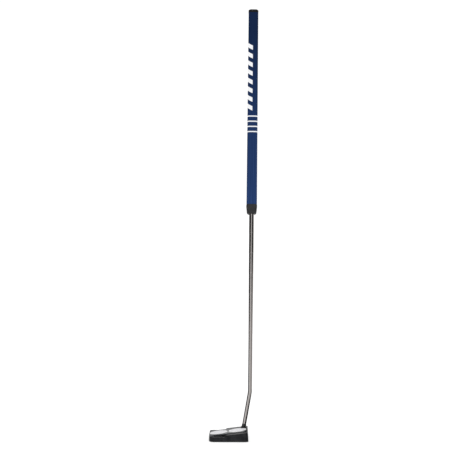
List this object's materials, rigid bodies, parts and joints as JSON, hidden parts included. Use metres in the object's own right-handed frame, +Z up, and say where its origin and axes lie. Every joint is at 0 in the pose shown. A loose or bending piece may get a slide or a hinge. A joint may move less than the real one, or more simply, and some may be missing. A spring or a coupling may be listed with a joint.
{
  "type": "golf putter",
  "caption": "Right-handed mallet golf putter of arm-lock length, with white ball-size alignment discs, a bent stepped steel shaft and a long navy grip.",
  "frame": {"origin": "centre of the sole plate's flat, with the club soled at address", "axes": "+X towards the target, out of the strike face; -Y towards the toe, +Y towards the heel and the player; +Z up"},
  "size_m": [0.1183, 0.4436, 1.006],
  "materials": {
    "black_aluminium": "fine bead-blasted, charcoal anodised",
    "grey_aluminium": "satin grey anodised",
    "white_disc": "semi-gloss white",
    "face_urethane": "satin, with fine level grooves",
    "foam_tape": "thin double-sided foam tape",
    "stainless_steel": "brushed",
    "screw_steel": "plain machined",
    "weight_steel": "turned",
    "seal_rubber": "moulded O-ring",
    "post_steel": "turned",
    "ferrule_plastic": "gloss black",
    "chromed_steel": "bright nickel-chrome plate over stepped tube",
    "grip_tape": "double-sided paper tape",
    "grip_foam": "closed-cell foam",
    "navy_polyurethane": "matt moulded skin, faint lengthwise streaks",
    "collar_rubber": "satin charcoal",
    "gloss_black_plastic": "polished black",
    "insert_nylon": "moulded"
  },
  "bodies": {
    "club": {"head_body": "black_aluminium", "deck_plate": "grey_aluminium", "front_disc": "white_disc", "rear_disc": "white_disc", "face_insert": "face_urethane", "insert_backing": "foam_tape", "sole_plate": "stainless_steel", "sole_screw_1": "screw_steel", "sole_screw_2": "screw_steel", "sole_screw_3": "screw_steel", "sole_screw_4": "screw_steel", "hosel_post": "post_steel", "ferrule": "ferrule_plastic", "shaft": "chromed_steel", "grip_tape": "grip_tape", "grip_core": "grip_foam", "grip_sleeve": "navy_polyurethane", "grip_collar": "collar_rubber", "butt_cap": "gloss_black_plastic", "butt_insert": "insert_nylon"},
    "toe_weight": {"toe_weight": "weight_steel", "toe_weight_ring": "seal_rubber"},
    "heel_weight": {"heel_weight": "weight_steel", "heel_weight_ring": "seal_rubber"},
    "counterweight": {"counterweight": "weight_steel", "counterweight_ring": "seal_rubber"}
  },
  "joints": [
    {"name": "toe_weight_out", "type": "slide", "parent": "club", "child": "toe_weight", "axis": [0, 0, -1], "range_m": [0, 0.02]},
    {"name": "heel_weight_out", "type": "slide", "parent": "club", "child": "heel_weight", "axis": [0, 0, -1], "range_m": [0, 0.02]},
    {"name": "counterweight_out", "type": "slide", "parent": "club", "child": "counterweight", "axis": [0.0082, 0.342, 0.9397], "range_m": [0, 0.07]}
  ]
}
